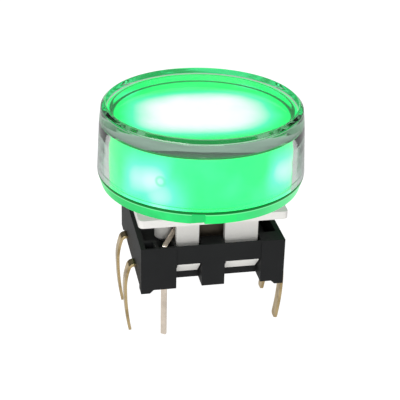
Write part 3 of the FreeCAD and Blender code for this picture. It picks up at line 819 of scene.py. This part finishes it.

# Diffuser
# A milky green cup, moulded with a tray for the lens's plug. It stands on the ring over the lamp to
# spread its light; that glow is painted into its material as emission, brightest on the top and in
# painted pools of light at four corners of the side.
diffuser_steps = 160
diffuser_radius = 7.85 * mm
diffuser_bore = 7.05 * mm
diffuser_ceiling = 10.1 * mm
diffuser_ceiling_rounding = 0.2 * mm
tray_radius = 7.5 * mm
tray_floor = 10.8 * mm
tray_rounding = 0.08 * mm
rim_top = 12.57 * mm
rim_rounding = 0.1 * mm
diffuser_edge = 0.05 * mm

# Lengths of the painted glow are in millimetres, and the pairs named across are squared radii.
top_half_width = 6.5
top_half_depth = 4.9
top_back = 0.3
top_squareness = 2.6
top_soft_edge = (1.3, -0.02)
floor_across = (54, 52)
floor_from_z = (10.6, 10.75)
spot_turn = -0.02
spot_tilt = -0.1
spot_height = 10.2
spot_reach = 3.0
spot_corner = (22.5, 31)
spot_span = 5.5
spot_left = 0.6
spot_right = 0.58
halo_place = -4.5
halo_height = 9.3
halo_reach = 3.2
halo_share = 0.48
outer_wall_across = (57.5, 59)
tray_across = (59, 57)
tray_side_from_z = (10.82, 10.95)
tray_corner_across = (52.6, 54.4)
tray_corner_from_z = (10.7, 10.78)
gate_place = (-4.4, -6.5, 10.4)
gate_radius = 0.36
gate_line = (0.2, 0.02)
gate_share = 0.5
cloud_middle = 0.45
cloud_share = 0.35
glow_green = (0.002, 0.90, 0.15, 1)
half_bright_green = (0.085, 0.95, 0.47, 1)
half_bright_at = 0.4
brightest = (1.0, 1.0, 1.0, 1)
tray_side_shade_green = (0.004, 0.36, 0.09, 1)
tray_corner_shade_green = (0.0, 0.12, 0.016, 1)
gate_green = (0.01, 0.62, 0.26, 1)

milky_green, tree, shader = open_finish("milky_green")
whole_place = millimetres(tree)
place = add_node(tree, "SeparateXYZ", {0: whole_place}).outputs
across = calculate(tree, "POWER", place["X"], 2)
across = calculate(tree, "ADD", across, calculate(tree, "POWER", place["Y"], 2))
# Painted glow: a rounded square of light on the tray's floor, seen through the lens's top.
wide = calculate(tree, "DIVIDE", distance_from(tree, place["X"], 0), top_half_width)
wide = calculate(tree, "POWER", wide, top_squareness)
deep = calculate(tree, "DIVIDE", distance_from(tree, place["Y"], top_back), top_half_depth)
deep = calculate(tree, "POWER", deep, top_squareness)
top_glow = fade(tree, calculate(tree, "ADD", wide, deep), *top_soft_edge)
floor = product(tree, fade(tree, across, *floor_across), fade(tree, place["Z"], *floor_from_z))
top_glow = product(tree, top_glow, floor)

# Painted pools of light on the side wall at its four corners, a little brighter on the left.
turned = {"Vector": whole_place, "Rotation": (0, 0, spot_turn)}
turned = add_node(tree, "Mapping", turned).outputs["Vector"]
turned = add_node(tree, "SeparateXYZ", {0: turned}).outputs
turned_x = distance_from(tree, turned["X"], 0)
turned_y = distance_from(tree, turned["Y"], 0)
tilt = product(tree, calculate(tree, "SUBTRACT", turned_x, turned_y), spot_tilt)
spot = distance_from(tree, place["Z"], calculate(tree, "ADD", tilt, spot_height))
spot = fade(tree, spot, spot_reach, 0)
spot = product(tree, spot, fade(tree, product(tree, turned_x, turned_y), *spot_corner))
uneven = {
    "Value": place["X"],
    "From Min": -spot_span,
    "From Max": spot_span,
    "To Min": spot_left,
    "To Max": spot_right,
}
spot = product(tree, spot, add_node(tree, "MapRange", uneven).outputs["Result"])
# A further painted pool of light on the outer wall's left side.
halo_up = fade(tree, distance_from(tree, place["Z"], halo_height), halo_reach, 0)
halo_along = fade(tree, distance_from(tree, place["X"], halo_place), halo_reach, 0)
halo = product(tree, product(tree, halo_up, halo_along), fade(tree, across, *outer_wall_across))
corner_glow = calculate(tree, "MAXIMUM", spot, product(tree, halo, halo_share))

cloud = {"Vector": whole_place, "Scale": 0.3, "Detail": 2}
cloud = add_node(tree, "TexNoise", cloud).outputs["Fac"]
cloud = product(tree, calculate(tree, "SUBTRACT", cloud, cloud_middle), cloud_share)
lit = calculate(tree, "MAXIMUM", top_glow, corner_glow)
ramp = add_node(tree, "ValToRGB", {"Fac": calculate(tree, "ADD", lit, cloud)})
ramp.color_ramp.elements[0].color = glow_green
ramp.color_ramp.elements[1].color = brightest
half_bright = ramp.color_ramp.elements.new(half_bright_at)
half_bright.color = half_bright_green
# Painted shade: the glow darkens on the tray's inner side wall and in its corner on the floor.
tray = fade(tree, across, *tray_across)
tray_side_shade = product(tree, tray, fade(tree, place["Z"], *tray_side_from_z))
glow = tinge(tree, tray_side_shade, ramp.outputs["Color"], tray_side_shade_green)
tray_corner_shade = fade(tree, across, *tray_corner_across)
tray_corner_shade = product(tree, tray_corner_shade, fade(tree, place["Z"], *tray_corner_from_z))
glow = tinge(tree, product(tree, tray_corner_shade, tray), glow, tray_corner_shade_green)
off_gate = {0: whole_place, 1: gate_place}
off_gate = add_node(tree, "VectorMath", off_gate, operation="DISTANCE").outputs["Value"]
gate_ring = fade(tree, distance_from(tree, off_gate, gate_radius), *gate_line)
glow = tinge(tree, product(tree, gate_ring, gate_share), glow, gate_green)
tree.links.new(glow, shader.inputs["Emission Color"])
shader.inputs["Emission Strength"].default_value = 1.5
shader.inputs["Base Color"].default_value = (0.01, 0.12, 0.05, 1)
shader.inputs["Roughness"].default_value = 0.6
shader.inputs["Specular IOR Level"].default_value = 0.1
diffuser = draw_profile(
    "milky_diffuser_cup",
    [
        (0, tray_floor, 0),
        (tray_radius, tray_floor, tray_rounding),
        (tray_radius, rim_top, diffuser_edge),
        (diffuser_radius, rim_top, rim_rounding),
        (diffuser_radius, seam + fine_gap, 0),
        (diffuser_bore, seam + fine_gap, diffuser_edge),
        (diffuser_bore, diffuser_ceiling, diffuser_ceiling_rounding),
        (0, diffuser_ceiling, 0),
    ],
)
turn(diffuser_steps)
fit(diffuser, "diffuser", "button", milky_green)
let_light_pass(diffuser)

# Lens cap
# The clear acrylic button top, chamfered round its flat face. Its plug fills the diffuser's
# tray, and its skirt drops round the diffuser and is welded to the base ring at the seam.
lens_steps = 192
lens_top = 14.269 * mm
lens_top_radius = 8.01 * mm
chamfer_bottom = 13.97 * mm
chamfer_radius = 8.34 * mm
chamfer_rounding = 0.1 * mm
shoulder_height = 12.72 * mm
shoulder_radius = 8.5 * mm
shoulder_rounding = 0.6 * mm
lens_foot_edge = 0.08 * mm
lens_bore = 7.95 * mm
lens_ceiling = 12.62 * mm
plug_radius = 7.45 * mm
plug_bottom = 10.85 * mm
plug_edge = 0.02 * mm
acrylic_index = 1.49
ripple_scale = (0.3, 0.3, 0.5)
ripple_depth = 0.03 * mm
polish_roughest = 0.03

clear_acrylic, tree, shader = open_finish("clear_acrylic")
place = millimetres(tree)
stretched = {"Vector": place, "Scale": ripple_scale}
stretched = add_node(tree, "Mapping", stretched).outputs["Vector"]
ripple = add_node(tree, "TexNoise", {"Vector": stretched, "Scale": 1, "Detail": 2}).outputs["Fac"]
polish = add_node(tree, "TexNoise", {"Vector": place, "Scale": 6, "Detail": 3}).outputs["Fac"]
polish = {"Value": polish, "To Min": 0.0, "To Max": polish_roughest}
polish = add_node(tree, "MapRange", polish).outputs["Result"]
tree.links.new(polish, shader.inputs["Roughness"])
height = {"Height": ripple, "Strength": 0.3, "Distance": ripple_depth}
tree.links.new(add_node(tree, "Bump", height).outputs["Normal"], shader.inputs["Normal"])
shader.inputs["Base Color"].default_value = (0.97, 1.0, 0.98, 1)
shader.inputs["Transmission Weight"].default_value = 1
shader.inputs["IOR"].default_value = acrylic_index
depth_tint = {"Color": (0.45, 0.92, 0.60, 1), "Density": 40}
depth_tint = add_node(tree, "VolumeAbsorption", depth_tint).outputs["Volume"]
tree.links.new(depth_tint, tree.nodes["Material Output"].inputs["Volume"])
lens = draw_profile(
    "clear_lens_cap",
    [
        (0, lens_top, 0),
        (lens_top_radius, lens_top, chamfer_rounding),
        (chamfer_radius, chamfer_bottom, chamfer_rounding),
        (shoulder_radius, shoulder_height, shoulder_rounding),
        (cap_radius, seam + fine_gap, lens_foot_edge),
        (lens_bore, seam + fine_gap, 0),
        (lens_bore, lens_ceiling, plug_edge),
        (plug_radius, lens_ceiling, plug_edge),
        (plug_radius, plug_bottom, plug_edge),
        (0, plug_bottom, 0),
    ],
)
turn(lens_steps)
fit(lens, "lens_cap", "button", clear_acrylic)
let_light_pass(lens)

# Studio
# A white table that gives back soft light, a dim surround, paler higher up through the lens, and
# two large panels: one low in front, one high on the left. The camera looks down from the front.
table_half = 1.5
table_glow = 1.0
table_mirrored = 0.55
surround_glow = 0.22
surround_mirrored = 0.12
surround_through_low = 0.14
surround_through_high = 0.6
surround_low = 0.37
surround_high = 0.43
panels = (
    ("front_panel", (-0.07, -0.34, 0.07), 0.30, 0.12, 0.5),
    ("high_panel", (-0.14, -0.10, 0.20), 0.16, 0.12, 0.35),
)
camera_place = Vector((-17.08, -83.03, 47.62)) * mm
camera_target = Vector((0, 0, 5.42)) * mm
camera_roll = math.radians(1.44)
camera_lens = 99.46
camera_sensor = 36
camera_shift = -0.0072
nearest_seen = 0.001
farthest_seen = 10
lens_bounces = 16

bpy.ops.object.select_all(action="DESELECT")
bpy.ops.mesh.primitive_plane_add(size=2 * table_half, location=(0, 0, cad_box[0][2]))
table = bpy.context.object
table.name = "white_table"
table_white, tree, shader = open_finish("table_white")
shader.inputs["Base Color"].default_value = (0.2, 0.2, 0.2, 1)
shader.inputs["Roughness"].default_value = 0.9
shader.inputs["Specular IOR Level"].default_value = 0
shader.inputs["Emission Color"].default_value = (1, 1, 1, 1)
ray = add_node(tree, "LightPath").outputs
mirrored = calculate(tree, "MAXIMUM", ray["Is Glossy Ray"], ray["Is Transmission Ray"])
dimmer = {"Value": mirrored, "To Min": table_glow, "To Max": table_mirrored}
dimmer = add_node(tree, "MapRange", dimmer).outputs["Result"]
tree.links.new(dimmer, shader.inputs["Emission Strength"])
table.data.materials.append(table_white)

world = bpy.data.worlds.new("dim_surround")
world.use_nodes = True
tree = world.node_tree
background = tree.nodes["Background"].inputs
background["Color"].default_value = (0.95, 0.97, 1.0, 1)
ray = add_node(tree, "LightPath").outputs
way = add_node(tree, "TexCoord").outputs["Generated"]
graded = {
    "Value": add_node(tree, "SeparateXYZ", {0: way}).outputs["Z"],
    "From Min": surround_low,
    "From Max": surround_high,
    "To Min": surround_through_low,
    "To Max": surround_through_high,
}
graded = add_node(tree, "MapRange", graded).outputs["Result"]
strength = surround_glow
for kind, seen in (("Glossy", surround_mirrored), ("Transmission", graded), ("Camera", table_glow)):
    strength = {"Value": ray[f"Is {kind} Ray"], "To Min": strength, "To Max": seen}
    strength = add_node(tree, "MapRange", strength).outputs["Result"]
tree.links.new(strength, background["Strength"])
bpy.context.scene.world = world

for name, place, width, height, power in panels:
    panel = bpy.data.lights.new(name, "AREA")
    panel.shape = "RECTANGLE"
    panel.size = width
    panel.size_y = height
    panel.energy = power
    stand = bpy.data.objects.new(name, panel)
    bpy.context.collection.objects.link(stand)
    stand.location = place
    stand.visible_transmission = False
    stand.rotation_euler = (camera_target - stand.location).to_track_quat("-Z", "Y").to_euler()

view = bpy.data.cameras.new("camera")
view.lens = camera_lens
view.sensor_width = camera_sensor
view.shift_y = camera_shift
view.clip_start = nearest_seen
view.clip_end = farthest_seen
camera = bpy.data.objects.new("camera", view)
bpy.context.collection.objects.link(camera)
camera.location = camera_place
aim = (camera_target - camera_place).to_track_quat("-Z", "Y")
camera.rotation_euler = (aim @ Quaternion((0, 0, 1), camera_roll)).to_euler()
scene = bpy.context.scene
scene.camera = camera
scene.view_settings.view_transform = "Standard"
scene.cycles.max_bounces = lens_bounces
scene.cycles.glossy_bounces = lens_bounces
scene.cycles.transmission_bounces = lens_bounces
